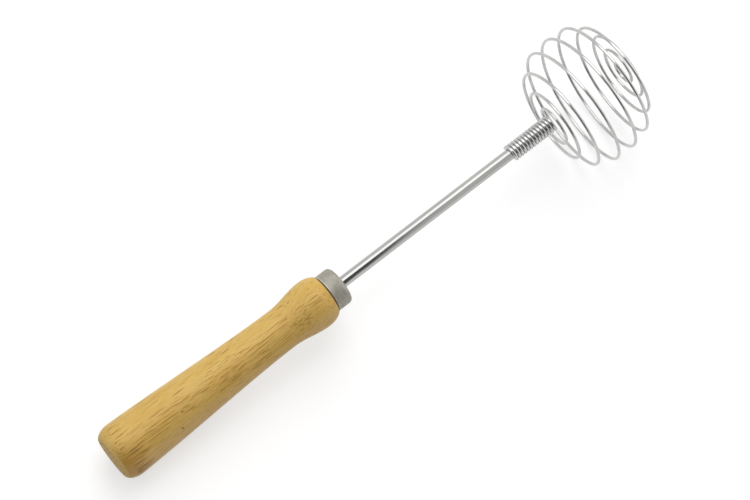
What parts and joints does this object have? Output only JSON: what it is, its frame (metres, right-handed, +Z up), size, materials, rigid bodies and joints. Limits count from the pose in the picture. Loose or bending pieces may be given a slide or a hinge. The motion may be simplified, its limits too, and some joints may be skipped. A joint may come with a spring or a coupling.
{
  "type": "dough whisk",
  "caption": "Hand whisk for dough and batter: turned wood handle, steel ferrule, slim steel rod, and one spring wire wound as a collar and then a ball.",
  "frame": {"origin": "middle of the bounding box, on the surface that the whisk lies on", "axes": "+X from the butt to the tip, +Z up; the tool's own axis climbs 4.0 degrees from the butt to the ball"},
  "size_m": [0.3227, 0.0694, 0.0697],
  "materials": {
    "wood": "satin lacquer",
    "ferrule_steel": "satin",
    "rod_chrome": "bright plated",
    "wire_chrome": "bright plated"
  },
  "bodies": {
    "root": {"handle": "wood", "ferrule": "ferrule_steel", "rod": "rod_chrome", "whisk_wire": "wire_chrome"}
  },
  "joints": []
}
